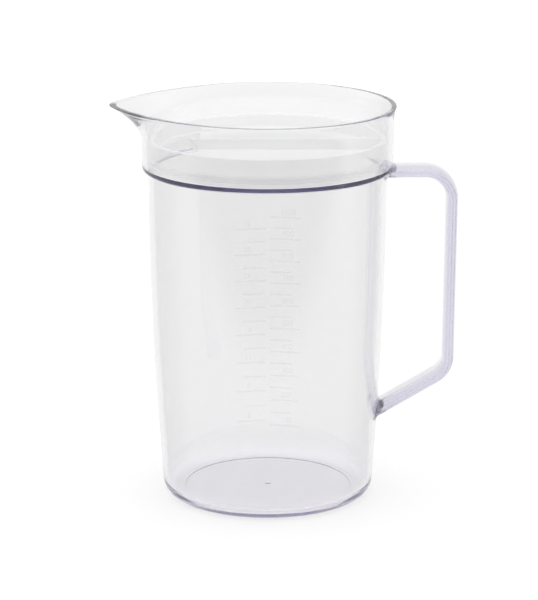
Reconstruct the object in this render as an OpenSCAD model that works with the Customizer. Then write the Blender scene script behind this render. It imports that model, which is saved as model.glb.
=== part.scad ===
// Clear pitcher with a flared spout, a strap handle and a drop-in lid that turns.
// The origin is the centre of the underside, +Z is up, the spout points to -X and the handle to +X.

/* [Jug] */
// Height of the shoulder, where the wall ends and the collar begins
shoulder_h = 159.2; // [130:0.2:190]
// Diameter of the wall carried down to the table
base_d = 100.2; // [92:0.2:106]
// Diameter of the wall just under the shoulder
body_d = 113.2; // [108:0.2:116]
// How far the wall bows outwards at half its height
belly = 1.6; // [0:0.1:4]
// Thickness of the wall
wall_t = 2.4; // [1.8:0.1:3]
// Thickness of the floor
floor_t = 3.2; // [2.4:0.1:5]
// Outside radius of the corner between floor and wall
corner_r = 7; // [5:0.5:10]

/* [Collar] */
// Height of the collar from shoulder to rim
collar_h = 30.8; // [24:0.2:40]
// Thickness of the collar
collar_t = 2.4; // [1.8:0.1:3]
// How far the collar stands out from the wall
collar_step = 2.9; // [2:0.1:4]
// How far the collar leans out between shoulder and rim
collar_flare = 0.2; // [0:0.1:1.5]
// Radius of the collar's lower edge
shoulder_r = 2; // [0.6:0.1:2.2]
// Height of the lid's seat above the shoulder
seat_t = 1.9; // [1.8:0.1:3.5]
// How far the seat falls towards the middle
seat_fall = 3; // [0:0.1:6]
// How far the rim curls out from the collar
lip_out = 1.4; // [0:0.1:3]
// Height over which the rim curls out
lip_h = 8; // [4:0.5:12]
// Radius of the rim's edges
rim_edge_r = 0.7; // [0.3:0.1:0.8]

/* [Spout] */
// How far the spout's tip reaches beyond the round rim
spout_reach = 14.5; // [8:0.5:18]
// Radius of the spout's sides, seen from above
spout_side_r = 110; // [90:1:140]
// Height over which the spout flares out of the collar
spout_h = 16; // [12:0.5:16]
// Angle from the spout's middle to where its edge leaves the round rim
spout_half_angle = 60; // [50:1:70]
// How fast the spout flares, 1 for a straight cone and more for a late curve
spout_curve = 1.8; // [1.2:0.1:2.4]

/* [Handle] */
// Width of the oval strap
strap_w = 22; // [16:0.5:28]
// Thickness of the oval strap
strap_t = 6; // [4:0.1:8]
// Distance from the wall to the middle of the strap at the upper bend
handle_reach = 31.2; // [26:0.2:40]
// How far the grip leans towards the jug at its lower end
grip_lean = 1; // [0:0.1:8]
// Distance from the shoulder down to the middle of the upper arm
handle_drop = 0.7; // [0.5:0.1:8]
// Height at which the lower arm meets the wall
foot_h = 41.5; // [30:0.5:60]
// How far the lower arm climbs from the wall to the grip
arm_rise = 20; // [10:0.5:30]
// Radius of the upper bend at the middle of the strap
upper_bend_r = 13; // [8:0.5:16]
// Radius of the lower bend at the middle of the strap
lower_bend_r = 12; // [8:0.5:16]

/* [Lid] */
// Height of the lid's skirt
lid_h = 13.6; // [10:0.2:14]
// Thickness of the lid's plate
plate_t = 2; // [1.5:0.1:2.6]
// Depth of the well from the lid's top edge to the plate
well_depth = 6; // [4:0.2:7]
// Thickness of the lid's skirt
skirt_t = 2.6; // [2.2:0.1:3.2]
// Depth of the pour opening, from the skirt towards the middle
pour_depth = 20.5; // [12:0.5:26]
// Width of the rim left round the pour opening
pour_lip = 1.2; // [0.8:0.1:2]
// Thickness of the grip bar
grip_t = 3.2; // [2.4:0.1:6]
// How far the grip bar stays below the lid's top edge
grip_below = 0.6; // [0:0.1:2]
// How far the grip bar's spout end leans out
grip_slant = 3.6; // [0:0.1:6]

/* [Seal] */
// Height of the seal ring
seal_h = 3; // [2:0.1:3.4]
// Depth of the groove that holds the seal
groove_depth = 1.2; // [0.8:0.1:1.5]
// Height of the groove's lower edge above the lid's lower edge
groove_rise = 2.2; // [1.5:0.1:3]

/* [Fits] */
// Gap between the skirt and the collar at the seat
skirt_clear = 0.9; // [0.6:0.05:1.5]
// Gap between the seal's lips and the collar
seal_clear = 0.25; // [0.15:0.05:0.5]
// Gap between the seal and the bottom of its groove
turn_clear = 0.08; // [0.05:0.01:0.1]
// Gap between the seal and each side of its groove
groove_clear = 0.1; // [0.05:0.01:0.2]
// Height of the lid's lower edge above its seat
seat_clear = 0.3; // [0.15:0.05:0.5]

/* [Hidden] */
$fn = 120;
clear_tint = [0.88, 0.87, 0.95, 0.35];
lid_tint = [0.94, 0.94, 0.95, 0.6];
seal_tint = [0.90, 0.90, 0.94, 0.6];

// Wall and collar
base_r = base_d / 2;
body_r = body_d / 2;
wall_steps = 14;
corner_step = 9;
collar_r = body_r + collar_step;
rim_r = collar_r + collar_flare + lip_out;
jug_h = shoulder_h + collar_h;

// Seat, a cone that is at its stated height under the lid's lower edge
seat_z = shoulder_h + seat_t;
seat_w = collar_in(seat_z) - body_r + wall_t;
seat_high = seat_z + seat_fall * skirt_clear / seat_w;
seat_low = seat_high - seat_fall;

// Upper collar, set in by a fine line where the spout begins
spout_z = jug_h - spout_h;
line_inset = 0.15;
tongue_h = 1.2;
spout_gain = 0.8;
tip_round = 4;
rim_levels = 8;
edge_step = 30;
fine_step = 2;
coarse_step = 4;
arc_gap = spout_side_r - rim_r;

// Lid and seal
lid_bottom = seat_z + seat_clear;
lid_top = lid_bottom + lid_h;
plate_top = lid_top - well_depth;
plate_bottom = plate_top - plate_t;
skirt_r = collar_in(seat_z) - skirt_clear;
well_r = skirt_r - skirt_t;
pour_edge = well_r - pour_depth;
groove_r = skirt_r - groove_depth;
groove_low = lid_bottom + groove_rise;
groove_high = groove_low + seal_h;
seal_low = groove_low + groove_clear;
seal_high = groove_high - groove_clear;
lip_depth = 0.5;
grip_root = 0.8;

// Handle, as the middle line of the strap in the plane through spout and grip
foot_sink = 6;
oval_step = 10;
arm_z = shoulder_h - handle_drop;
upper_foot = [wall_r(arm_z) - foot_sink, arm_z];
upper_corner = [body_r + handle_reach, arm_z];
lower_corner = [upper_corner.x - grip_lean, foot_h + arm_rise];
lower_meet = [wall_r(foot_h), foot_h];
lower_foot = lower_meet - foot_sink * unit(lower_corner - lower_meet);

function unit(v) = v / norm(v);

// Outside radius of the wall at a height below the shoulder
function wall_r(z) =
    let (s = z / shoulder_h)
    base_r + (body_r - base_r) * s + 4 * belly * s * (1 - s);

// Outside and inside radius of the collar at a height above the shoulder
function collar_out(z) = collar_r + collar_flare * (z - shoulder_h) / collar_h;

function collar_in(z) = collar_out(z) - collar_t;

// How far the lip has curled out at a height
function lip_curl(z) = lip_out * pow(max(0, (z - jug_h) / lip_h + 1), 2);

// Points of an arc about a centre, from one angle to another
function arc_points(centre, r, from, to) =
    let (n = ceil(abs(to - from) / corner_step))
    [for (i = [0:n]) let (a = from + (to - from) * i / n) centre + r * [cos(a), sin(a)]];

// Points of the wall between two heights, moved in by an inset
function wall_points(low, high, inset) =
    [for (i = [0:wall_steps]) let (z = low + (high - low) * i / wall_steps) [wall_r(z) - inset, z]];

// Points of a list in the opposite order
function reversed(list) = [for (i = [len(list) - 1:-1:0]) list[i]];

// How far two arcs that leave the round rim at the half angle stand beyond it, with a softened tip
function side_arc(angle) =
    let (soft = min(sqrt(angle * angle + tip_round * tip_round), spout_half_angle))
    let (turn = spout_half_angle - soft)
    sqrt(pow(spout_side_r, 2) - pow(arc_gap * sin(turn), 2)) - arc_gap * cos(turn) - rim_r;

// How far the rim stands beyond its round part, at an angle from the spout's middle
function rim_reach(angle) = spout_reach * side_arc(angle) / side_arc(0);

// Share of that reach at a height, which grows from nothing where the spout begins
function spout_share(z) = pow(max(0, (z - spout_z) / spout_h), spout_curve);

function outer_profile(top) = concat(
    [[0, 0]],
    arc_points([wall_r(corner_r) - corner_r, corner_r], corner_r, -90, 0),
    wall_points(corner_r, shoulder_h, 0),
    arc_points([collar_r - shoulder_r, shoulder_h + shoulder_r], shoulder_r, -90, 0),
    [[collar_out(top), top]]
);

function inner_profile(top) =
    let (r = corner_r - wall_t)
    let (z = floor_t + r)
    concat(
        [[0, floor_t]],
        arc_points([wall_r(z) - wall_t - r, z], r, -90, 0),
        wall_points(z, seat_low, wall_t),
        [[collar_in(seat_high), seat_high], [collar_in(top), top]]
    );

// Section of the upper collar as points of radius, height and side, 0 outside and 1 inside
level_low = spout_z - tongue_h;
level_high = jug_h - rim_edge_r;
levels = [for (i = [0:rim_levels]) level_low + (level_high - level_low) * i / rim_levels];
rim_out = collar_out(jug_h) - line_inset + lip_curl(jug_h);
rim_in = collar_in(jug_h) + line_inset + lip_curl(jug_h);
edge_angles = [edge_step:edge_step:90];
collar_section = concat(
    [for (z = levels) [collar_out(z) - line_inset + lip_curl(z), z, 0]],
    [for (a = edge_angles) [rim_out + rim_edge_r * (cos(a) - 1), level_high + rim_edge_r * sin(a), 0]],
    [for (a = edge_angles) [rim_in + rim_edge_r * (1 - sin(a)), level_high + rim_edge_r * cos(a), 1]],
    [for (z = reversed(levels)) if (z < level_high) [collar_in(z) + line_inset + lip_curl(z), z, 1]]
);
spout_angles = concat(
    [for (a = [-spout_half_angle:fine_step:spout_half_angle - fine_step / 2]) a],
    [for (a = [spout_half_angle:coarse_step:360 - spout_half_angle - coarse_step / 2]) a]
);

// A point of the upper collar, from its section point and its angle from the spout's middle
function collar_point(p, angle) =
    let (off = angle > 180 ? angle - 360 : angle)
    let (r = p[0] + rim_reach(off) * spout_share(p[1] - spout_gain * p[2]))
    [-r * cos(angle), -r * sin(angle), p[1]];

// Round part of the jug, from the table to where the spout begins
module jug_shell() {
    rotate_extrude()
        polygon(concat(outer_profile(spout_z), reversed(inner_profile(spout_z))));
}

// Collar above that, swept round the rim and drawn out into the spout
module spout_collar() {
    n = len(spout_angles);
    m = len(collar_section);
    points = [for (a = spout_angles) for (p = collar_section) collar_point(p, a)];
    faces = [
        for (j = [0:n - 1])
        for (i = [0:m - 1])
        let (here = j * m, next = ((j + 1) % n) * m, up = (i + 1) % m)
        for (face = [[here + i, here + up, next + up], [here + i, next + up, next + i]]) face
    ];
    polyhedron(points, faces, convexity = 6);
}

// The space inside the wall's outer face, which the handle's feet fit against
module wall_core() {
    rotate_extrude()
        polygon(concat(outer_profile(spout_z), [[0, spout_z]]));
}

module jug_body() {
    color(clear_tint)
        union() {
            jug_shell();
            spout_collar();
        }
}

// Point on the way from a corner to its neighbour where the bend begins
function bend_start(corner, neighbour, other, r) =
    let (u = unit(neighbour - corner), v = unit(other - corner))
    let (half = acos(u * v) / 2)
    corner + u * r / tan(half);

function bend_centre(corner, neighbour, other, r) =
    let (u = unit(neighbour - corner), v = unit(other - corner))
    let (half = acos(u * v) / 2)
    corner + unit(u + v) * r / sin(half);

// Rings of the strap round a corner, each a point of the middle line and the way across the thickness
function bend_rings(corner, neighbour, other, r) =
    let (centre = bend_centre(corner, neighbour, other, r))
    let (from = unit(bend_start(corner, neighbour, other, r) - centre))
    let (to = unit(bend_start(corner, other, neighbour, r) - centre))
    let (turn = acos(from * to), n = ceil(turn / corner_step))
    [for (i = [0:n])
        let (out = unit(from * sin(turn * (1 - i / n)) + to * sin(turn * i / n)))
        [centre + r * out, out]];

upper_rings = bend_rings(upper_corner, upper_foot, lower_corner, upper_bend_r);
lower_rings = bend_rings(lower_corner, upper_corner, lower_foot, lower_bend_r);
strap_rings = concat(
    [[upper_foot, upper_rings[0][1]]], upper_rings,
    lower_rings, [[lower_foot, lower_rings[len(lower_rings) - 1][1]]]
);

// A point of the strap's oval section on a ring
function strap_point(ring, angle) =
    let (flat = ring[0] + strap_t / 2 * cos(angle) * ring[1])
    [flat.x, strap_w / 2 * sin(angle), flat.y];

// The strap from its upper to its lower foot, both within the wall
module strap() {
    n = len(strap_rings);
    m = 360 / oval_step;
    points = [for (ring = strap_rings) for (i = [0:m - 1]) strap_point(ring, i * oval_step)];
    sides = [
        for (j = [0:n - 2])
        for (i = [0:m - 1])
        let (here = j * m, next = here + m, up = (i + 1) % m)
        for (face = [[here + i, here + up, next + up], [here + i, next + up, next + i]]) face
    ];
    ends = [[for (i = [m - 1:-1:0]) i], [for (i = [0:m - 1]) (n - 1) * m + i]];
    polyhedron(points, concat(sides, ends), convexity = 4);
}

module handle() {
    color(clear_tint)
        difference() {
            strap();
            wall_core();
        }
}

// Skirt and plate of the lid, with the groove for the seal
module lid_dish() {
    rotate_extrude()
        polygon([
            [0, plate_bottom], [well_r, plate_bottom], [well_r, lid_bottom], [skirt_r, lid_bottom],
            [skirt_r, groove_low], [groove_r, groove_low], [groove_r, groove_high], [skirt_r, groove_high],
            [skirt_r, lid_top], [well_r, lid_top], [well_r, plate_top], [0, plate_top]
        ]);
}

// Bar across the well, from the skirt at the handle side to the pour opening
module lid_grip() {
    grip_top = lid_top - grip_below;
    far_end = well_r + grip_root;
    root = plate_top - grip_root;
    rotate([90, 0, 0])
        linear_extrude(grip_t, center = true)
            polygon([[-pour_edge, root], [far_end, root], [far_end, grip_top],
                [-pour_edge - grip_slant, grip_top], [-pour_edge, plate_top]]);
}

// Part of the plate that is open towards the spout
module pour_opening() {
    translate([0, 0, plate_bottom - plate_t])
        linear_extrude(3 * plate_t)
            intersection() {
                circle(r = well_r - pour_lip);
                translate([-pour_edge - 2 * well_r, -well_r])
                    square(2 * well_r);
            }
}

module lid() {
    color(lid_tint)
        union() {
            difference() {
                lid_dish();
                pour_opening();
            }
            lid_grip();
        }
}

// Ring with two lips towards the collar, which follow the collar's lean
module lid_seal() {
    middle = (seal_low + seal_high) / 2;
    inner = groove_r + turn_clear;
    color(seal_tint)
        rotate_extrude()
            polygon([
                [inner, seal_low], [collar_in(seal_low) - seal_clear, seal_low],
                [collar_in(middle) - seal_clear - lip_depth, middle],
                [collar_in(seal_high) - seal_clear, seal_high], [inner, seal_high]
            ]);
}

jug_body();
handle();
lid();
lid_seal();
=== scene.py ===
"""Looks of a clear pitcher with a flared spout, a strap handle and a milky drop-in lid."""
import math

import bmesh
import bpy
from bpy.props import FloatProperty, FloatVectorProperty, IntProperty, PointerProperty
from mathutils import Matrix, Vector


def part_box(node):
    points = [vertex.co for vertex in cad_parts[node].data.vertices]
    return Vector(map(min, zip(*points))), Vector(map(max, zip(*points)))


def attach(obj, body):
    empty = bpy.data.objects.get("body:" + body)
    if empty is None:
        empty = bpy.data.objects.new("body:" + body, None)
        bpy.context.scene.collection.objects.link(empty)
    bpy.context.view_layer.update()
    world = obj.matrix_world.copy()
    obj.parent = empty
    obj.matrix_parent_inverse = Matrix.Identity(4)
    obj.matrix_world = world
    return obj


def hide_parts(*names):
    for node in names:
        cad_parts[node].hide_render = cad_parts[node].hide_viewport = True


bl_info = {
    "name": "Clear lidded pitcher",
    "version": (1, 0, 0),
    "blender": (4, 5, 0),
    "location": "3D View > Sidebar > Pitcher",
    "description": "Dresses the solids of a clear pitcher with a milky drop-in lid",
    "category": "Object",
}

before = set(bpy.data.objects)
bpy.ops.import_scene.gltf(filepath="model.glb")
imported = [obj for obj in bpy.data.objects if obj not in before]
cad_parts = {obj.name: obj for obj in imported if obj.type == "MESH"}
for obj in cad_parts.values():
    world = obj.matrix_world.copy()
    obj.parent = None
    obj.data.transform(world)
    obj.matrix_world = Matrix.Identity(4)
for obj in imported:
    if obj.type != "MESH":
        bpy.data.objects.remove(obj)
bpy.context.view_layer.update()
JUG_LOW, JUG_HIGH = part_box("jug_body")
HANDLE_LOW, HANDLE_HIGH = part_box("handle")
LID_LOW, LID_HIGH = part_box("lid")
SEAL_LOW, SEAL_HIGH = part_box("lid_seal")
MM = 0.001
LITRE = 0.001
COLLAR_TOP = 59.7 * MM  # radius of the collar at the rim, without the curled lip
STRAP = 6 * MM          # thickness of the handle's strap
HOLD = 0.1 * MM         # from an edge to the point that keeps the shading beside it flat
MERGE = 0.001 * MM      # points closer than this become one
SHARP = 35              # degrees from which two faces meet in a sharp edge
FIRST_LINE = 2
SCALE_COLUMNS = (       # side, litres from line to line, what a line counts for, last line
    (1, 0.05, 50, 20),
    (-1, 0.05914, 2, 16),
)


def length(name, default, note):
    """A size in metres."""
    return FloatProperty(name=name, description=note, default=default, unit="LENGTH", precision=5)


def amount(name, default, note):
    """A plain number, such as a share or a strength."""
    return FloatProperty(name=name, description=note, default=default, precision=4)


def angle(name, default, note):
    """An angle, whose default is given in degrees."""
    return FloatProperty(name=name, description=note, default=math.radians(default), subtype="ANGLE")


def count(name, default, note):
    """A whole number, such as the steps of a curve."""
    return IntProperty(name=name, description=note, default=default)


def colour(name, default, note):
    """A linear colour."""
    return FloatVectorProperty(name=name, description=note, default=default, size=3, subtype="COLOR",
                               min=0.0, max=1.0)


class PitcherJugSizes(bpy.types.PropertyGroup):
    """Sizes of the clear jug."""
    height: length("Height", JUG_HIGH.z, "Height of the rim above the table")
    rim_radius: length("Rim radius", JUG_HIGH.y, "Outside radius of the round part of the rim")
    shoulder_height: length("Shoulder height", 159.2 * MM, "Height where the wall ends and the collar begins")
    base_radius: length("Base radius", 50.1 * MM, "Radius of the wall carried down to the table")
    body_radius: length("Body radius", 56.6 * MM, "Outside radius of the wall under the shoulder")
    belly: length("Belly", 1.6 * MM, "How far the wall bows out at half its height")
    wall: length("Wall", 2.4 * MM, "Thickness of wall and collar")
    floor: length("Floor", 3.2 * MM, "Thickness of the floor")
    corner_radius: length("Corner radius", 7 * MM, "Outside radius between floor and wall")
    collar_step: length("Collar step", 2.9 * MM, "How far the collar stands out from the wall")
    collar_flare: length("Collar flare", 0.2 * MM, "How far the collar leans out up to the rim")
    shoulder_radius: length("Shoulder radius", 2 * MM, "Radius of the collar's lower edge")
    shoulder_fillet: length("Shoulder fillet", 0.3 * MM, "Radius between wall and collar")
    seat_rise: length("Seat rise", 2.8 * MM, "Height of the lid's conical seat above the shoulder")
    seat_fall: length("Seat fall", 3 * MM, "How far the lid's seat falls towards the middle")
    seat_edge: length("Seat edge", 0.5 * MM, "Radius of the seat's two edges")
    lip_height: length("Lip height", 8 * MM, "Height over which the rim curls out")
    lip_out: length("Lip", JUG_HIGH.y - COLLAR_TOP, "How far the rim curls out")
    rim_edge: length("Rim edge", 0.4 * MM, "Radius of the rim's edges")
    dish_radius: length("Dish radius", 40.2 * MM, "Radius of the shallow dish in the floor")
    dish_depth: length("Dish depth", 0.25 * MM, "Depth of the shallow dish in the floor")
    gate_radius: length("Gate radius", 1.2 * MM, "Radius of the moulding point in the middle of the floor")
    steps: count("Steps", 288, "Steps of a full turn of the lathe")


class PitcherSpoutSizes(bpy.types.PropertyGroup):
    """Sizes of the spout."""
    reach: length("Reach", -JUG_LOW.x - JUG_HIGH.y, "How far the tip stands beyond the round rim")
    height: length("Height", 16 * MM, "Height over which the spout flares out")
    side_radius: length("Side radius", 110 * MM, "Radius of the spout's sides, seen from above")
    half_angle: angle("Half angle", 60, "Angle from the tip to where the edge joins the round rim")
    tip_angle: angle("Tip angle", 4, "Angle over which the tip is rounded")
    curve: amount("Curve", 1.8, "How late the spout flares, 1 for a straight cone")
    gain: length("Gain", 0.8 * MM, "How much later the inside flares than the outside")


class PitcherHandleSizes(bpy.types.PropertyGroup):
    """Sizes of the strap handle."""
    width: length("Width", HANDLE_HIGH.y - HANDLE_LOW.y, "Width of the strap")
    thickness: length("Thickness", STRAP, "Thickness of the oval strap")
    reach: length("Reach", HANDLE_HIGH.x - STRAP / 2, "From the axis to the strap's middle at the upper bend")
    lean: length("Lean", 1 * MM, "How far the grip leans in at its lower end")
    arm_height: length("Arm height", HANDLE_HIGH.z - STRAP / 2, "Height of the middle of the upper arm")
    foot_height: length("Foot height", 41.5 * MM, "Height where the lower arm meets the wall")
    arm_rise: length("Arm rise", 20 * MM, "How far the lower arm climbs to the grip")
    upper_bend: length("Upper bend", 13 * MM, "Radius of the upper bend")
    lower_bend: length("Lower bend", 12 * MM, "Radius of the lower bend")
    fillet: length("Fillet", 1.3 * MM, "Radius between the strap's feet and the wall")
    sink: length("Sink", 0.4 * MM, "How far the feet are let into the wall")
    section_steps: count("Section steps", 56, "Steps round the oval section")
    bend_steps: count("Bend steps", 18, "Steps of each bend")
    fillet_steps: count("Fillet steps", 6, "Steps of the fillet at each foot")


class PitcherLidSizes(bpy.types.PropertyGroup):
    """Sizes of the lid and its seal."""
    skirt_radius: length("Skirt radius", LID_HIGH.y, "Outside radius of the skirt")
    skirt: length("Skirt", 2.6 * MM, "Thickness of the skirt")
    plate: length("Plate", 2 * MM, "Thickness of the plate")
    well_depth: length("Well depth", 6 * MM, "Depth from the top edge to the plate")
    pour_depth: length("Pour depth", 20.5 * MM, "Depth of the pour opening from the skirt")
    pour_lip: length("Pour lip", 1.2 * MM, "Width of the rim left round the opening")
    bar: length("Bar", 3.2 * MM, "Thickness of the grip bar")
    bar_below: length("Bar below", 0.6 * MM, "How far the bar stays below the top edge")
    bar_slant: length("Bar slant", 3.6 * MM, "How far the bar's spout end leans out")
    groove: length("Groove", 1.2 * MM, "Depth of the seal's groove")
    groove_rise: length("Groove rise", 2.2 * MM, "Height of the groove above the skirt's lower edge")
    groove_height: length("Groove height", 3 * MM, "Height of the groove")
    edge: length("Edge", 0.45 * MM, "Radius of the lid's edges")
    root_radius: length("Root radius", 0.8 * MM, "Radius between plate and skirt")
    bar_root: length("Bar root", 0.8 * MM, "How far the bar is let into plate and skirt")
    bar_edge: length("Bar edge", 0.5 * MM, "Radius of the bar's edges")
    seal_gap: length("Seal gap", 0.08 * MM, "Gap between the seal and the groove's bottom")
    lip_radius: length("Lip radius", 0.3 * MM, "Radius of the seal's lips")
    lip_depth: length("Lip depth", 0.5 * MM, "Depth of the hollow between the seal's lips")
    steps: count("Steps", 256, "Steps of a full turn of lid and seal")
    opening_steps: count("Opening steps", 192, "Steps of a full turn of the pour opening")


class PitcherScaleSizes(bpy.types.PropertyGroup):
    """Sizes of the measuring scale on the far wall."""
    line: length("Line", 0.8 * MM, "Height of a line")
    relief: length("Relief", 0.08 * MM, "Thickness of the scale's marks")
    long_line: length("Long line", 16.5 * MM, "Length of a numbered line")
    short_line: length("Short line", 12 * MM, "Length of a line between two numbers")
    gap: length("Gap", 2.2 * MM, "Gap between the two columns")
    numeral: length("Numeral", 4.2 * MM, "Height of the numerals")
    numeral_place: amount("Numeral place", 0.8, "Where a numeral stands along a short line")
    numeral_lift: amount("Numeral lift", 0.62, "How many times its height a numeral stands above its line")
    off_wall: length("Off wall", 0.01 * MM, "Gap between the wall and the marks")


class PitcherFinish(bpy.types.PropertyGroup):
    """Colours and strengths of the finishes."""
    jug: amount("Jug", 0.92, "Brightness of the clear jug")
    jug_tint: colour("Jug tint", (0.49, 0.45, 0.63), "Colour that the clear jug takes in a thick stretch")
    jug_density: amount("Jug density", 12.0, "How fast the clear jug takes that colour, per metre")
    strap: amount("Strap", 0.88, "Brightness of the clear strap")
    strap_tint: colour("Strap tint", (0.45, 0.39, 0.70), "Colour that the strap takes in a thick stretch")
    strap_density: amount("Strap density", 20.0, "How fast the strap takes that colour, per metre")
    lid: colour("Lid", (0.98, 0.98, 0.98), "Colour of the milky lid")
    lid_cover: amount("Lid cover", 0.4, "Share of the light that one face of the lid stops")
    seal: colour("Seal", (0.97, 0.97, 0.97), "Colour of the soft seal")
    seal_cover: amount("Seal cover", 0.3, "Share of the light that one face of the seal stops")
    clear_clouds: amount("Clear clouds", 0.015, "How much darker the clear plastic is in its faint clouds")
    lid_clouds: amount("Lid clouds", 0.97, "Share of its brightness that the lid keeps in its clouds")
    seal_clouds: amount("Seal clouds", 0.95, "Share of its brightness that the seal keeps in its clouds")
    frost_clouds: amount("Frost clouds", 0.96, "Share of its brightness that the scale keeps in its clouds")
    cloud_scale: amount("Cloud scale", 26.0, "Fineness of the faint clouds")
    grain_scale: amount("Grain scale", 420.0, "Fineness of the haze")
    grain_low: amount("Grain low", 0.35, "Noise at which the haze is least")
    grain_high: amount("Grain high", 0.75, "Noise at which the haze is most")
    draw: amount("Draw", 0.35, "Fineness of ripples and clouds upwards, as a share of that across")
    # Painted shade: the next three darken the clear plastic's colour where it is seen at a slant, to make its
    # edges dark.
    slant: amount("Slant", 0.84, "Share of its colour that clear plastic keeps where it is seen at a slant")
    slant_shade_low: amount("Slant low", 0.33, "Slant from which the clear plastic darkens")
    slant_shade_high: amount("Slant high", 0.75, "Slant at which it is darkest")
    # Painted light: the floor's colour is the plastic's violet tint, made lighter than the wall's colour to
    # offset the shade under the jug.
    floor_tint_and_light: colour("Floor tint", (0.98, 0.972, 1.0), "Colour of the jug's thick floor")
    floor_low: length("Floor low", 4 * MM, "Height up to which the floor's colour is full")
    floor_high: length("Floor high", 12 * MM, "Height at which the floor's colour ends")
    shade: amount("Shade", 0.08, "Share of the soft light that one face of the clear plastic stops")
    foot_shade: amount("Foot shade", 0.4, "The same share down at the table")
    shade_height: length("Shade height", 80 * MM, "Height at which the share down at the table ends")
    frost: colour("Frost", (0.72, 0.72, 0.74), "Colour of the frosted scale")
    frost_cover: amount("Frost cover", 0.06, "Share of the light that one face of the scale's marks stops")


class PitcherStage(bpy.types.PropertyGroup):
    """Floor, light and camera."""
    camera_distance: length("Camera distance", 1.30796, "Distance from the jug's axis to the camera")
    camera_height: length("Camera height", 0.434378, "Height of the camera above the table")
    camera_side: length("Camera side", 0.000665, "How far the camera stands towards the handle")
    camera_pitch: FloatProperty(name="Camera pitch", description="How far the camera looks down",
                                default=0.254, subtype="ANGLE")
    lens: amount("Lens", 112.66, "Focal length in millimetres")
    film_height: amount("Film height", 24.0, "Height of the film in millimetres")
    sky: amount("Sky", 1.0, "Brightness of the soft light from above and behind")
    front_sky: amount("Front sky", 0.5, "Share of that light that comes from low in front")
    top_sky: amount("Top sky", 1.6, "How many times brighter the light is straight above")
    floor_tone: amount("Floor tone", 0.45, "Brightness of the floor's own colour near the jug")
    front_floor: amount("Front floor", 0.5, "Brightness of the floor's own colour far in front of the jug")
    glow: amount("Glow", 0.51, "Brightness that the pale floor adds by itself")
    fade_front: length("Fade front", -0.42, "Place in front of the jug where the floor has its far tone")
    fade_back: length("Fade back", -0.17, "Place in front of the jug where the floor has its near tone")
    floor_size: length("Floor size", 6.0, "Half the side of the floor")
    floor_gap: length("Floor gap", 0.2 * MM, "Gap between the floor and the jug")
    bright_side: FloatVectorProperty(name="Bright side", description="Side of the full light, behind and above",
                                     default=(0.0, 1.0, 1.2), size=3, subtype="XYZ")
    dim_end: amount("Dim end", -0.9, "How far from the bright side the light is dimmest")
    bright_end: amount("Bright end", 0.5, "How far towards the bright side the light is full")
    top_start: amount("Top start", 0.5, "Height on the sky where the brighter light above begins")


GROUPS = {
    "pitcher_jug": PitcherJugSizes,
    "pitcher_spout": PitcherSpoutSizes,
    "pitcher_handle": PitcherHandleSizes,
    "pitcher_lid": PitcherLidSizes,
    "pitcher_scale": PitcherScaleSizes,
    "pitcher_finish": PitcherFinish,
    "pitcher_stage": PitcherStage,
}


# Shapes

def wall_radius(jug, z):
    """Outside radius of the wall at a height below the shoulder."""
    s = z / jug.shoulder_height
    return jug.base_radius + (jug.body_radius - jug.base_radius) * s + 4 * jug.belly * s * (1 - s)


def collar_radius(jug, z):
    """Outside radius of the collar and its curled lip at a height above the shoulder."""
    rise = jug.height - jug.shoulder_height
    lean = jug.collar_flare * (z - jug.shoulder_height) / rise
    curl = jug.lip_out * max(0.0, (z - jug.height) / jug.lip_height + 1) ** 2
    return jug.body_radius + jug.collar_step + lean + curl


def arc(centre, radius, start, stop, steps):
    """Points of an arc of radius and height, between two angles in degrees."""
    turns = [math.radians(start + (stop - start) * i / steps) for i in range(steps + 1)]
    return [(centre[0] + radius * math.cos(a), centre[1] + radius * math.sin(a)) for a in turns]


def line(low, high, steps):
    """Evenly spaced numbers between two, both ends included."""
    return [low + (high - low) * i / steps for i in range(steps + 1)]


def bend(before, corner, after, radius, steps):
    """Points of the arc that rounds a corner between two straight stretches."""
    corner = Vector(corner)
    u = (Vector(before) - corner).normalized()
    v = (Vector(after) - corner).normalized()
    opening = u.angle(v) / 2
    centre = corner + (u + v).normalized() * radius / math.sin(opening)
    start = corner + u * radius / math.tan(opening) - centre
    sweep = start.angle_signed(corner + v * radius / math.tan(opening) - centre)
    turns = [-sweep * i / steps for i in range(steps + 1)]
    return [centre + Vector((start.x * math.cos(a) - start.y * math.sin(a),
                             start.x * math.sin(a) + start.y * math.cos(a))) for a in turns]


def held_bend(before, corner, after, radius, steps):
    """A bend with one more point close to each end, which keeps the shading of the stretches flat."""
    points = bend(before, corner, after, radius, steps)
    first = points[0] + (Vector(before) - Vector(corner)).normalized() * HOLD / 2
    last = points[-1] + (Vector(after) - Vector(corner)).normalized() * HOLD / 2
    return [first] + points + [last]


def lathe(bm, profile, steps, closed=False):
    """Spins a profile of radius and height about the upright axis."""
    points = [bm.verts.new((r, 0, z)) for r, z in profile]
    pairs = list(zip(points, points[1:]))
    if closed:
        pairs.append((points[-1], points[0]))
    edges = [bm.edges.new(pair) for pair in pairs]
    bmesh.ops.spin(bm, geom=points + edges, cent=(0, 0, 0), axis=(0, 0, 1), angle=2 * math.pi,
                   steps=steps, use_merge=True)
    bmesh.ops.remove_doubles(bm, verts=bm.verts, dist=MERGE)
    bmesh.ops.recalc_face_normals(bm, faces=bm.faces)


def new_object(name, bm):
    """An object at the origin, made of a mesh."""
    mesh = bpy.data.meshes.new(name)
    bm.to_mesh(mesh)
    bm.free()
    made = bpy.data.objects.new(name, mesh)
    bpy.context.scene.collection.objects.link(made)
    return made


def smooth_faces(mesh, sharp=SHARP):
    """Smooth faces between the edges that are sharper than an angle in degrees."""
    mesh.shade_smooth()
    mesh.set_sharp_from_angle(angle=math.radians(sharp))


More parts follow.
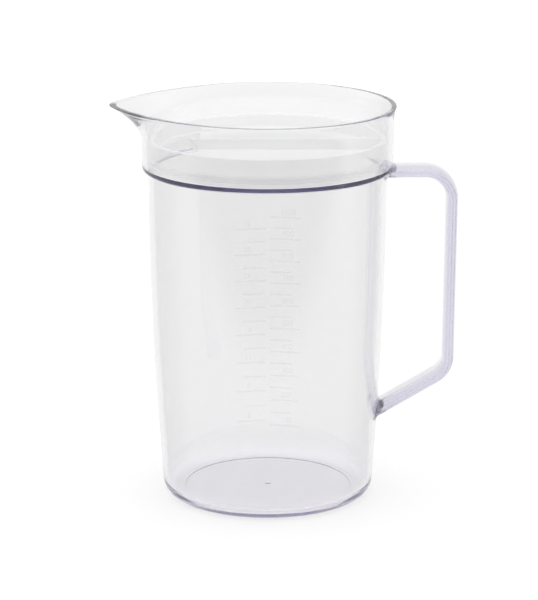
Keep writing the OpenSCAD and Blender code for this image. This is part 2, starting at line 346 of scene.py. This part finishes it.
def finish_piece(name, bm, material, body, slot, *nodes, sharp=SHARP):
    """Makes a piece of a mesh, with smooth faces between sharp edges, that rides on a body."""
    piece = new_object(name, bm)
    smooth_faces(piece.data, sharp)
    piece.data.materials.append(material)
    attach(piece, body)
    if nodes:
        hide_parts(*nodes)
    return piece


def jug_outside(jug):
    """Profile from the middle of the underside to the rim's outer edge."""
    corner = jug.corner_radius
    edge = jug.shoulder_radius
    low = jug.shoulder_height
    top = jug.height - jug.rim_edge
    collar = jug.body_radius + jug.collar_step
    stand = wall_radius(jug, corner) - corner
    points = [(0.0, 0.0), (stand - HOLD, 0.0)]
    points += arc((stand, corner), corner, -90, 0, steps=14)
    points += [(wall_radius(jug, z), z) for z in line(corner, low - 2 * jug.shoulder_fillet, steps=40)[1:]]
    points += held_bend((jug.body_radius, 0.0), (jug.body_radius, low), (collar, low),
                        jug.shoulder_fillet, steps=4)
    points += held_bend((0.0, low), (collar, low), (collar, top), edge, steps=16)
    points += [(collar_radius(jug, z), z) for z in line(low + 1.5 * edge, top, steps=30)[:-1]]
    rim = collar_radius(jug, jug.height)
    return points + arc((rim - jug.rim_edge, top), jug.rim_edge, 0, 90, steps=6)


def floor_dish(jug, start):
    """Profile of the floor from a radius to the middle, with a shallow dish and a moulding point."""
    depth = jug.dish_depth
    low = jug.floor - depth
    ring = jug.dish_radius - depth
    gate_foot = jug.gate_radius * 1.3
    gate_top = low + depth * 0.6
    points = [(start - HOLD, jug.floor), (jug.dish_radius + HOLD, jug.floor)]
    points += arc((jug.dish_radius, low), depth, 90, 165, steps=5)
    points += [(ring, low), (ring - HOLD, low), (gate_foot + HOLD, low), (gate_foot, low)]
    return points + [(jug.gate_radius, gate_top), (0.0, gate_top)]


def jug_inside(jug):
    """Profile from the rim's inner edge to the middle of the floor."""
    top = jug.height - jug.rim_edge
    seat = jug.shoulder_height + jug.seat_rise
    corner = jug.corner_radius - jug.wall
    low = jug.floor + corner
    soft = jug.seat_edge
    rim = collar_radius(jug, jug.height) - jug.wall
    outer = (collar_radius(jug, seat) - jug.wall, seat)
    inner = (jug.body_radius - jug.wall, seat - jug.seat_fall)
    points = arc((rim + jug.rim_edge, top), jug.rim_edge, 90, 180, steps=6)
    points += [(collar_radius(jug, z) - jug.wall, z) for z in line(top, seat + 2 * soft, steps=30)[1:]]
    points += held_bend((outer[0], top), outer, inner, soft, steps=6)
    points += held_bend(outer, inner, (inner[0], 0.0), soft, steps=6)
    points += [(wall_radius(jug, z) - jug.wall, z) for z in line(inner[1] - 2 * soft, low, steps=40)]
    flat = wall_radius(jug, low) - jug.wall - corner
    points += arc((flat, low), corner, 0, -90, steps=12)[1:]
    return points + floor_dish(jug, flat)


def spout_stretch(jug, spout, away):
    """How far the rim stands beyond its round part, at an angle from the spout's middle."""
    gap = spout.side_radius - jug.rim_radius

    def beyond(off):
        soft = min(math.hypot(off, spout.tip_angle), spout.half_angle)
        turn = spout.half_angle - soft
        side = math.sqrt(spout.side_radius ** 2 - (gap * math.sin(turn)) ** 2)
        return side - gap * math.cos(turn) - jug.rim_radius

    return spout.reach * beyond(away) / beyond(0.0)


def draw_spout(bm, jug, spout):
    """Draws the upper collar out into the spout."""
    start = jug.height - spout.height
    for vert in bm.verts:
        radius = math.hypot(vert.co.x, vert.co.y)
        if vert.co.z <= start:
            continue
        inside = radius < collar_radius(jug, vert.co.z) - jug.wall / 2
        climb = vert.co.z - start - (spout.gain if inside else 0.0)
        share = max(0.0, climb / spout.height) ** spout.curve
        away = math.atan2(vert.co.y, -vert.co.x)
        grown = 1 + spout_stretch(jug, spout, away) * share / radius
        vert.co.x *= grown
        vert.co.y *= grown


def strap_line(jug, handle):
    """Middle line of the strap in the plane of spout and grip, as points from foot to foot."""
    upper = Vector((handle.reach, handle.arm_height))
    lower = Vector((upper.x - handle.lean, handle.foot_height + handle.arm_rise))
    first = Vector((wall_radius(jug, upper.y), upper.y))
    last = Vector((wall_radius(jug, handle.foot_height), handle.foot_height))
    points = bend(first, upper, lower, handle.upper_bend, handle.bend_steps)
    points += bend(upper, lower, last, handle.lower_bend, handle.bend_steps)
    return first, points, last


def strap_section(handle):
    """Points round the strap's oval section, across its thickness and along its width."""
    steps = handle.section_steps
    turns = [2 * math.pi * i / steps for i in range(steps)]
    return [(handle.thickness / 2 * math.cos(a), handle.width / 2 * math.sin(a)) for a in turns]


def outside_radius(jug, z):
    """Outside radius of the wall or, above the shoulder, of the collar with its rounded lower edge."""
    if z < jug.shoulder_height:
        return wall_radius(jug, z)
    edge = jug.shoulder_radius
    below = max(0.0, jug.shoulder_height + edge - z)
    return collar_radius(jug, z) - edge + math.sqrt(edge ** 2 - below ** 2)


def wall_reach(jug, start, direction):
    """How far a point goes along a direction until it meets the jug's outer face."""
    furthest = 10 * MM
    halvings = 40
    low, high = -furthest, furthest
    for _ in range(halvings):
        middle = (low + high) / 2
        p = start + direction * middle
        if math.hypot(p.x, p.y) > outside_radius(jug, p.z):
            low = middle
        else:
            high = middle
    return low


def strap_ring(jug, handle, centre, along, foot=None, inward=1):
    """One ring of the strap. At a foot it stands a given distance off the wall and flares into a fillet."""
    side = Vector((-along.y, along.x))
    towards = Vector((along.x, 0, along.y)) * inward
    flare = 0.0
    if foot is not None:
        gone = handle.fillet - min(max(0.0, foot), handle.fillet)
        flare = handle.fillet - math.sqrt(handle.fillet ** 2 - gone ** 2)
    wider = 1 + flare / (handle.thickness / 2)
    longer = 1 + flare / (handle.width / 2)
    points = []
    for s, y in strap_section(handle):
        flat = centre + side * s * wider
        point = Vector((flat.x, y * longer, flat.y))
        if foot is not None:
            point += towards * (wall_reach(jug, point, towards) - foot)
        points.append(point)
    return points


def strap_rings(jug, handle):
    """Rings of the strap from its upper foot round the grip to its lower foot."""
    first, bends, last = strap_line(jug, handle)
    out = (bends[0] - first).normalized()
    home = (last - bends[-1]).normalized()
    turns = line(0, math.pi / 2, handle.fillet_steps)
    offs = [-handle.sink] + [handle.fillet * (1 - math.cos(a)) for a in turns]
    rings = [strap_ring(jug, handle, first, out, off, -1) for off in offs]
    for i, centre in enumerate(bends):
        before = bends[i - 1] if i else first
        after = bends[i + 1] if i + 1 < len(bends) else last
        rings.append(strap_ring(jug, handle, centre, (after - before).normalized()))
    return rings + [strap_ring(jug, handle, last, home, off) for off in reversed(offs)]


def sweep_rings(bm, rings):
    """Extrudes a loop of edges through the rings of a strap and closes both ends."""
    loop = [bm.verts.new(p) for p in rings[0]]
    bm.faces.new(loop)
    for places in rings[1:]:
        edges = [bm.edges.get((a, b)) for a, b in zip(loop, loop[1:] + loop[:1])]
        made = bmesh.ops.extrude_edge_only(bm, edges=edges)["geom"]
        fresh = {v for v in made if isinstance(v, bmesh.types.BMVert)}
        loop = [next(e.other_vert(v) for e in v.link_edges if e.other_vert(v) in fresh) for v in loop]
        for vert, place in zip(loop, places):
            vert.co = place
    bm.faces.new(loop)
    bmesh.ops.recalc_face_normals(bm, faces=bm.faces)


def lid_profile(lid):
    """Profile of the lid from the middle of its underside round the skirt to the middle of its plate."""
    e = lid.edge
    soft = lid.root_radius
    low, high = LID_LOW.z, LID_HIGH.z
    plate_top = high - lid.well_depth
    plate_low = plate_top - lid.plate
    out = lid.skirt_radius
    well = out - lid.skirt
    groove = low + lid.groove_rise
    points = [(0.0, plate_low)]
    points += arc((well - soft, plate_low - soft), soft, 90, 0, steps=5)
    points += arc((well + e, low + e), e, 180, 270, steps=4)
    points += arc((out - e, low + e), e, 270, 360, steps=4)
    points += [(out, groove), (out - lid.groove, groove)]
    points += [(out - lid.groove, groove + lid.groove_height), (out, groove + lid.groove_height)]
    points += arc((out - e, high - e), e, 0, 90, steps=5)
    points += arc((well + e, high - e), e, 90, 180, steps=5)
    points += arc((well - soft, plate_top + soft), soft, 0, -90, steps=5)
    return points + [(0.0, plate_top)]


def bar_mesh(bm, lid):
    """The grip bar, from the skirt at the handle side to the pour opening, with a slanted end."""
    root = lid.bar_root
    well = lid.skirt_radius - lid.skirt
    plate_top = LID_HIGH.z - lid.well_depth
    top = LID_HIGH.z - lid.bar_below
    spout_end = lid.pour_depth - well
    outline = [(spout_end, plate_top - root), (well + root, plate_top - root), (well + root, top),
               (spout_end - lid.bar_slant, top), (spout_end, plate_top)]
    face = bm.faces.new([bm.verts.new((x, -lid.bar / 2, z)) for x, z in outline])
    made = bmesh.ops.extrude_face_region(bm, geom=[face])["geom"]
    moved = [v for v in made if isinstance(v, bmesh.types.BMVert)]
    bmesh.ops.translate(bm, verts=moved, vec=(0, lid.bar, 0))
    bmesh.ops.recalc_face_normals(bm, faces=bm.faces)
    above = [e for e in bm.edges if all(v.co.z > plate_top - root / 2 for v in e.verts)]
    bmesh.ops.bevel(bm, geom=above, offset=lid.bar_edge, affect="EDGES", segments=4, profile=0.5,
                    material=-1)


def opening_mesh(bm, lid):
    """The space of the pour opening, a segment of a round plug cut off straight."""
    well = lid.skirt_radius - lid.skirt
    middle = LID_HIGH.z - lid.well_depth - lid.plate / 2
    bmesh.ops.create_cone(bm, cap_ends=True, segments=lid.opening_steps, radius1=well - lid.pour_lip,
                          radius2=well - lid.pour_lip, depth=3 * lid.plate)
    bmesh.ops.translate(bm, verts=bm.verts, vec=(0, 0, middle))
    cut = bmesh.ops.bisect_plane(bm, geom=bm.verts[:] + bm.edges[:] + bm.faces[:],
                                 plane_co=(lid.pour_depth - well, 0, 0), plane_no=(1, 0, 0), clear_outer=True)
    edges = [e for e in cut["geom_cut"] if isinstance(e, bmesh.types.BMEdge)]
    bmesh.ops.contextual_create(bm, geom=edges)
    bmesh.ops.recalc_face_normals(bm, faces=bm.faces)


def cut_and_join(piece, steps):
    """Carries out boolean steps on a piece and removes the objects that shaped it."""
    for operation, tool in steps:
        step = piece.modifiers.new(operation.lower(), "BOOLEAN")
        step.operation = operation
        step.solver = "EXACT"
        step.object = tool
    settled = piece.evaluated_get(bpy.context.evaluated_depsgraph_get())
    mesh = bpy.data.meshes.new_from_object(settled)
    piece.modifiers.clear()
    old = piece.data
    piece.data = mesh
    mesh.name = piece.name
    bpy.data.meshes.remove(old)
    for _, tool in steps:
        bpy.data.objects.remove(tool)
    return mesh


def seal_profile(lid):
    """Profile of the ring with two lips towards the collar."""
    low, high = SEAL_LOW.z, SEAL_HIGH.z
    tip = SEAL_HIGH.y
    back = lid.skirt_radius - lid.groove + lid.seal_gap
    r = lid.lip_radius
    hollow = (tip - lid.lip_depth, (low + high) / 2)
    points = [(back, low)]
    points += arc((tip - r, low + r), r, -90, 40, steps=6)
    points += [hollow]
    points += arc((tip - r, high - r), r, -40, 90, steps=6)
    return points + [(back, high)]


def height_of(jug, litres):
    """Height at which the jug holds a volume."""
    step = 0.1 * MM
    z = jug.floor
    filled = 0.0
    while filled < litres * LITRE:
        filled += math.pi * (wall_radius(jug, z) - jug.wall) ** 2 * step
        z += step
    return z


def scale_marks(jug):
    """Lines of both columns, as side, height, whether numbered and the numeral."""
    marks = []
    for side, litres, unit, last in SCALE_COLUMNS:
        for number in range(FIRST_LINE, last + 1):
            marks.append((side, height_of(jug, number * litres), number % 2 == 0, str(number * unit)))
    return marks


def line_mesh(bm, start, stop, height, scale):
    """One raised line of the scale, flat, with its length in a few stretches."""
    made = bmesh.ops.create_cube(bm, size=1)["verts"]
    bmesh.ops.scale(bm, verts=made, vec=(stop - start, scale.line, scale.relief))
    bmesh.ops.translate(bm, verts=made, vec=((start + stop) / 2, height, scale.relief / 2))
    along = [e for e in {e for v in made for e in v.link_edges}
             if abs(e.verts[0].co.x - e.verts[1].co.x) > (stop - start) / 2]
    bmesh.ops.subdivide_edges(bm, edges=along, cuts=7, use_grid_fill=True)


def numeral_mesh(bm, text, x, height, scale):
    """One raised numeral of the scale, flat, made a mesh from plain type."""
    type_data = bpy.data.curves.new("numeral", "FONT")
    type_data.body = text
    type_data.size = scale.numeral
    type_data.align_x = "CENTER"
    type_data.align_y = "CENTER"
    type_data.extrude = scale.relief / 2
    holder = bpy.data.objects.new("numeral", type_data)
    bpy.context.scene.collection.objects.link(holder)
    mesh = bpy.data.meshes.new_from_object(holder.evaluated_get(bpy.context.evaluated_depsgraph_get()))
    before = set(bm.verts)
    bm.from_mesh(mesh)
    made = [v for v in bm.verts if v not in before]
    bmesh.ops.translate(bm, verts=made, vec=(x, height, scale.relief / 2))
    bpy.data.objects.remove(holder)
    bpy.data.curves.remove(type_data)
    bpy.data.meshes.remove(mesh)


def lay_on_wall(bm, jug, scale):
    """Bends flat marks round the far wall, so that they read through the clear jug."""
    for vert in bm.verts:
        across, height, out = vert.co
        radius = wall_radius(jug, height) + scale.off_wall + out
        turn = across / jug.body_radius
        vert.co = (radius * math.sin(turn), radius * math.cos(turn), height)


# Finishes

def feed(tree, socket, value):
    """Links a socket to another node's output, or sets it to a plain value."""
    if isinstance(value, bpy.types.NodeSocket):
        tree.links.new(value, socket)
    else:
        socket.default_value = value


def spread(tree, value, ends, results, smooth=False):
    """Carries a value from one range over to another."""
    node = tree.nodes.new("ShaderNodeMapRange")
    if smooth:
        node.interpolation_type = "SMOOTHSTEP"
    sockets = ("Value", "From Min", "From Max", "To Min", "To Max")
    for socket, item in zip(sockets, (value, *ends, *results)):
        feed(tree, node.inputs[socket], item)
    return node.outputs["Result"]


def blend(tree, share, first, second, kind="MIX"):
    """Mixes two colours by a share."""
    node = tree.nodes.new("ShaderNodeMix")
    node.data_type = "RGBA"
    node.blend_type = kind
    for socket, item in zip(("Factor", "A", "B"), (share, first, second)):
        feed(tree, node.inputs[socket], item)
    return node.outputs["Result"]


def combine(tree, operation, first, second):
    """Works out a value from two."""
    node = tree.nodes.new("ShaderNodeMath")
    node.operation = operation
    feed(tree, node.inputs[0], first)
    feed(tree, node.inputs[1], second)
    return node.outputs["Value"]


def noise(tree, place, scale, detail):
    """A noise of a given fineness."""
    node = tree.nodes.new("ShaderNodeTexNoise")
    for socket, item in (("Vector", place), ("Scale", scale), ("Detail", detail)):
        feed(tree, node.inputs[socket], item)
    return node.outputs["Fac"]


def place_along(tree, axis, space="Object"):
    """A point's place along one axis."""
    place = tree.nodes.new("ShaderNodeTexCoord")
    parts = tree.nodes.new("ShaderNodeSeparateXYZ")
    feed(tree, parts.inputs["Vector"], place.outputs[space])
    return parts.outputs[axis]


def opaque(tone):
    """A colour as a socket takes it."""
    return (*tone, 1.0)


def dimmed(tone, share):
    """A colour with a share of its brightness."""
    return [share * part for part in tone]


def moulded_surface():
    """A node group for moulded plastic: slow ripples, fine haze and faint clouds."""
    name = "moulded_surface"
    if name in bpy.data.node_groups:
        return bpy.data.node_groups[name]
    finish = bpy.context.scene.pitcher_finish
    group = bpy.data.node_groups.new(name, "ShaderNodeTree")
    group.interface.new_socket("Vector", in_out="INPUT", socket_type="NodeSocketVector")
    for socket in ("Ripple Scale", "Haze Low", "Haze High"):
        group.interface.new_socket(socket, in_out="INPUT", socket_type="NodeSocketFloat")
    for socket in ("Ripple", "Haze", "Cloud"):
        group.interface.new_socket(socket, in_out="OUTPUT", socket_type="NodeSocketFloat")
    entry = group.nodes.new("NodeGroupInput").outputs
    leave = group.nodes.new("NodeGroupOutput").inputs
    ripple = noise(group, entry["Vector"], entry["Ripple Scale"], 1.0)
    grain = noise(group, entry["Vector"], finish.grain_scale, 3.0)
    cloud = noise(group, entry["Vector"], finish.cloud_scale, 2.0)
    haze = spread(group, grain, (finish.grain_low, finish.grain_high),
                  (entry["Haze Low"], entry["Haze High"]))
    for socket, value in (("Ripple", ripple), ("Haze", haze), ("Cloud", cloud)):
        feed(group, leave[socket], value)
    return group


def plastic(name, light, dark, haze, ripple, values):
    """A moulded finish between two close colours, with haze and ripples from the shared group.

    The haze is a lowest and a highest roughness, and the ripple is a fineness and a depth.
    """
    material = bpy.data.materials.new(name)
    material.use_nodes = True
    tree = material.node_tree
    shader = tree.nodes["Principled BSDF"]
    place = tree.nodes.new("ShaderNodeTexCoord")
    drawn = tree.nodes.new("ShaderNodeMapping")
    drawn.inputs["Scale"].default_value = (1.0, 1.0, bpy.context.scene.pitcher_finish.draw)
    surface = tree.nodes.new("ShaderNodeGroup")
    surface.node_tree = moulded_surface()
    bump = tree.nodes.new("ShaderNodeBump")
    feed(tree, drawn.inputs["Vector"], place.outputs["Object"])
    feed(tree, surface.inputs["Vector"], drawn.outputs["Vector"])
    feed(tree, surface.inputs["Ripple Scale"], ripple[0])
    feed(tree, surface.inputs["Haze Low"], haze[0])
    feed(tree, surface.inputs["Haze High"], haze[1])
    feed(tree, bump.inputs["Strength"], 1.0)
    feed(tree, bump.inputs["Distance"], ripple[1])
    feed(tree, bump.inputs["Height"], surface.outputs["Ripple"])
    tone = blend(tree, surface.outputs["Cloud"], opaque(light), opaque(dark))
    feed(tree, shader.inputs["Base Color"], tone)
    feed(tree, shader.inputs["Roughness"], surface.outputs["Haze"])
    feed(tree, shader.inputs["Normal"], bump.outputs["Normal"])
    for socket, value in values.items():
        feed(tree, shader.inputs[socket], value)
    return material


def clear_colour(tree, moulded, height):
    """Colour of the clear plastic, with painted shade where it is seen at a slant, and down at the floor its
    violet tint with painted light that offsets the shade under the jug.
    """
    finish = bpy.context.scene.pitcher_finish
    weight = tree.nodes.new("ShaderNodeLayerWeight")
    # Painted shade: the colour darkens where the face is seen at a slant.
    slant = spread(tree, weight.outputs["Facing"], (finish.slant_shade_low, finish.slant_shade_high), (1.0, finish.slant))
    wall = blend(tree, 1.0, moulded, slant, "MULTIPLY")
    # Painted light: down at the floor the lighter violet tint replaces the wall's colour and its painted shade
    # at a slant.
    above = spread(tree, height, (finish.floor_low, finish.floor_high), (0.0, 1.0))
    return blend(tree, above, opaque(finish.floor_tint_and_light), wall)


def soft_cover(tree, height):
    """Alpha that is full for sight and lets soft light through, less of it near the table."""
    finish = bpy.context.scene.pitcher_finish
    path = tree.nodes.new("ShaderNodeLightPath").outputs
    soft = combine(tree, "MAXIMUM", path["Is Shadow Ray"], path["Is Diffuse Ray"])
    shade = spread(tree, height, (0.0, finish.shade_height), (finish.foot_shade, finish.shade))
    return spread(tree, soft, (0.0, 1.0), (1.0, shade))


def clear_plastic(name, tone, tint, density):
    """Clear moulded plastic that turns violet where light runs along inside it, with light shadows."""
    finish = bpy.context.scene.pitcher_finish
    material = plastic(name, (tone,) * 3, (tone - finish.clear_clouds,) * 3, haze=(0.0, 0.03),
                       ripple=(45.0, 0.02 * MM), values={"IOR": 1.57, "Transmission Weight": 1.0})
    tree = material.node_tree
    shader = tree.nodes["Principled BSDF"]
    height = place_along(tree, "Z")
    moulded = shader.inputs["Base Color"].links[0].from_socket
    feed(tree, shader.inputs["Base Color"], clear_colour(tree, moulded, height))
    feed(tree, shader.inputs["Alpha"], soft_cover(tree, height))
    depth = tree.nodes.new("ShaderNodeVolumeAbsorption")
    feed(tree, depth.inputs["Color"], opaque(tint))
    feed(tree, depth.inputs["Density"], density)
    feed(tree, tree.nodes["Material Output"].inputs["Volume"], depth.outputs["Volume"])
    return material


def milky_plastic():
    """Translucent milky plastic of the lid."""
    finish = bpy.context.scene.pitcher_finish
    return plastic("milky_plastic", finish.lid, dimmed(finish.lid, finish.lid_clouds), haze=(0.35, 0.45),
                   ripple=(90.0, 0.02 * MM), values={"IOR": 1.5, "Alpha": finish.lid_cover})


def soft_silicone():
    """Soft translucent silicone of the seal."""
    finish = bpy.context.scene.pitcher_finish
    return plastic("soft_silicone", finish.seal, dimmed(finish.seal, finish.seal_clouds), haze=(0.40, 0.55),
                   ripple=(160.0, 0.03 * MM), values={"IOR": 1.41, "Alpha": finish.seal_cover})


def frosted_relief():
    """Etched surface of the scale's lines and numerals."""
    finish = bpy.context.scene.pitcher_finish
    return plastic("frosted_relief", finish.frost, dimmed(finish.frost, finish.frost_clouds),
                   haze=(0.55, 0.70), ripple=(300.0, 0.02 * MM),
                   values={"IOR": 1.3, "Alpha": finish.frost_cover})


def pale_floor():
    """Pale floor, bright under and behind the jug and dim far in front of it."""
    stage = bpy.context.scene.pitcher_stage
    material = bpy.data.materials.new("pale_floor")
    material.use_nodes = True
    tree = material.node_tree
    shader = tree.nodes["Principled BSDF"]
    fade = spread(tree, place_along(tree, "Y"), (stage.fade_front, stage.fade_back), (0.0, 1.0), smooth=True)
    tone = blend(tree, fade, opaque((stage.front_floor,) * 3), opaque((stage.floor_tone,) * 3))
    feed(tree, shader.inputs["Base Color"], tone)
    feed(tree, shader.inputs["Roughness"], 0.9)
    feed(tree, shader.inputs["Specular IOR Level"], 0.0)
    feed(tree, shader.inputs["Emission Color"], (1.0, 1.0, 1.0, 1.0))
    feed(tree, shader.inputs["Emission Strength"], combine(tree, "MULTIPLY", fade, stage.glow))
    return material


def soft_light():
    """Soft light all round, which is brightest from above and dimmer from low in front."""
    stage = bpy.context.scene.pitcher_stage
    world = bpy.data.worlds.new("soft_light")
    world.use_nodes = True
    tree = world.node_tree
    sky = tree.nodes["Background"]
    place = tree.nodes.new("ShaderNodeTexCoord")
    facing = tree.nodes.new("ShaderNodeVectorMath")
    facing.operation = "DOT_PRODUCT"
    feed(tree, facing.inputs[0], place.outputs["Generated"])
    feed(tree, facing.inputs[1], stage.bright_side)
    round_about = spread(tree, facing.outputs["Value"], (stage.dim_end, stage.bright_end),
                         (stage.front_sky, 1.0))
    overhead = spread(tree, place_along(tree, "Z", "Generated"), (stage.top_start, 1.0), (1.0, stage.top_sky),
                      smooth=True)
    feed(tree, sky.inputs["Strength"], stage.sky)
    feed(tree, sky.inputs["Color"], combine(tree, "MULTIPLY", overhead, round_about))
    return world


# Operators

class PITCHER_OT_jug(bpy.types.Operator):
    """Make the clear jug with its collar, rim and spout"""
    bl_idname = "pitcher.jug"
    bl_label = "Jug"

    def execute(self, context):
        jug = context.scene.pitcher_jug
        bm = bmesh.new()
        lathe(bm, jug_outside(jug) + jug_inside(jug), jug.steps)
        draw_spout(bm, jug, context.scene.pitcher_spout)
        finish = context.scene.pitcher_finish
        material = clear_plastic("clear_plastic", finish.jug, finish.jug_tint, finish.jug_density)
        finish_piece("clear_jug", bm, material, "jug", "clear_body", "jug_body")
        return {"FINISHED"}


class PITCHER_OT_handle(bpy.types.Operator):
    """Make the strap handle with its two feet"""
    bl_idname = "pitcher.handle"
    bl_label = "Handle"

    def execute(self, context):
        bm = bmesh.new()
        sweep_rings(bm, strap_rings(context.scene.pitcher_jug, context.scene.pitcher_handle))
        finish = context.scene.pitcher_finish
        material = clear_plastic("clear_strap", finish.strap, finish.strap_tint, finish.strap_density)
        finish_piece("strap_handle", bm, material, "jug", "clear_handle", "handle", sharp=50)
        return {"FINISHED"}


class PITCHER_OT_lid(bpy.types.Operator):
    """Make the lid with its skirt, grip bar and pour opening"""
    bl_idname = "pitcher.lid"
    bl_label = "Lid"

    def execute(self, context):
        lid = context.scene.pitcher_lid
        dish, bar, opening = bmesh.new(), bmesh.new(), bmesh.new()
        lathe(dish, lid_profile(lid), lid.steps)
        bar_mesh(bar, lid)
        opening_mesh(opening, lid)
        piece = finish_piece("milky_lid", dish, milky_plastic(), "lid", "milky_lid", "lid")
        steps = [("DIFFERENCE", new_object("opening", opening)), ("UNION", new_object("bar", bar))]
        smooth_faces(cut_and_join(piece, steps))
        return {"FINISHED"}


class PITCHER_OT_seal(bpy.types.Operator):
    """Make the soft seal in the groove of the lid's skirt"""
    bl_idname = "pitcher.seal"
    bl_label = "Seal"

    def execute(self, context):
        lid = context.scene.pitcher_lid
        bm = bmesh.new()
        lathe(bm, seal_profile(lid), lid.steps, closed=True)
        finish_piece("lip_seal", bm, soft_silicone(), "seal", "soft_seal", "lid_seal")
        return {"FINISHED"}


class PITCHER_OT_scale(bpy.types.Operator):
    """Make the measuring scale on the far wall"""
    bl_idname = "pitcher.scale"
    bl_label = "Measuring scale"

    def execute(self, context):
        jug = context.scene.pitcher_jug
        scale = context.scene.pitcher_scale
        lines, numerals = bmesh.new(), bmesh.new()
        for side, height, numbered, text in scale_marks(jug):
            start = scale.gap / 2
            stop = start + (scale.long_line if numbered else scale.short_line)
            left, right = (start, stop) if side > 0 else (-stop, -start)
            line_mesh(lines, left, right, height, scale)
            if numbered:
                numeral_mesh(numerals, text, side * (start + scale.short_line * scale.numeral_place),
                             height + scale.numeral * scale.numeral_lift, scale)
        for name, bm in (("scale_lines", lines), ("scale_numerals", numerals)):
            bmesh.ops.remove_doubles(bm, verts=bm.verts, dist=MERGE)
            lay_on_wall(bm, jug, scale)
            bmesh.ops.recalc_face_normals(bm, faces=bm.faces)
            material = bpy.data.materials.get("frosted_relief") or frosted_relief()
            finish_piece(name, bm, material, "jug", "clear_body")
        return {"FINISHED"}


class PITCHER_OT_stage(bpy.types.Operator):
    """Make the pale floor, the soft light and the camera"""
    bl_idname = "pitcher.stage"
    bl_label = "Stage"

    def execute(self, context):
        scene = context.scene
        stage = scene.pitcher_stage
        bm = bmesh.new()
        bmesh.ops.create_grid(bm, x_segments=1, y_segments=1, size=stage.floor_size)
        bmesh.ops.translate(bm, verts=bm.verts, vec=(0.0, 0.0, -stage.floor_gap))
        floor = new_object("floor", bm)
        floor.data.materials.append(pale_floor())
        scene.world = soft_light()
        data = bpy.data.cameras.new("camera")
        data.sensor_fit = "VERTICAL"
        data.sensor_height = stage.film_height
        data.lens = stage.lens
        camera = bpy.data.objects.new("camera", data)
        camera.location = (stage.camera_side, -stage.camera_distance, stage.camera_height)
        camera.rotation_euler = (math.pi / 2 - stage.camera_pitch, 0.0, 0.0)
        scene.collection.objects.link(camera)
        scene.camera = camera
        scene.view_settings.view_transform = "Standard"
        scene.cycles.max_bounces = 96
        scene.cycles.transmission_bounces = 64
        scene.cycles.glossy_bounces = 64
        scene.cycles.transparent_max_bounces = 32
        return {"FINISHED"}


class PITCHER_PT_panel(bpy.types.Panel):
    """The pitcher's pieces and sizes in the sidebar"""
    bl_idname = "PITCHER_PT_panel"
    bl_label = "Pitcher"
    bl_space_type = "VIEW_3D"
    bl_region_type = "UI"
    bl_category = "Pitcher"

    def draw(self, context):
        for operator in OPERATORS:
            self.layout.operator(operator.bl_idname)
        for name, kind in GROUPS.items():
            box = self.layout.box()
            box.label(text=kind.__doc__)
            for item in kind.__annotations__:
                box.prop(getattr(context.scene, name), item)


OPERATORS = (PITCHER_OT_jug, PITCHER_OT_handle, PITCHER_OT_lid, PITCHER_OT_seal, PITCHER_OT_scale,
             PITCHER_OT_stage)


def register():
    for group in GROUPS.values():
        bpy.utils.register_class(group)
    for name, group in GROUPS.items():
        setattr(bpy.types.Scene, name, PointerProperty(type=group))
    for operator in OPERATORS:
        bpy.utils.register_class(operator)
    bpy.utils.register_class(PITCHER_PT_panel)


def unregister():
    bpy.utils.unregister_class(PITCHER_PT_panel)
    for operator in reversed(OPERATORS):
        bpy.utils.unregister_class(operator)
    for name, group in reversed(GROUPS.items()):
        delattr(bpy.types.Scene, name)
        bpy.utils.unregister_class(group)


def main():
    register()
    bpy.ops.pitcher.jug()
    bpy.ops.pitcher.handle()
    bpy.ops.pitcher.lid()
    bpy.ops.pitcher.seal()
    bpy.ops.pitcher.scale()
    bpy.ops.pitcher.stage()


if __name__ == "__main__":
    main()
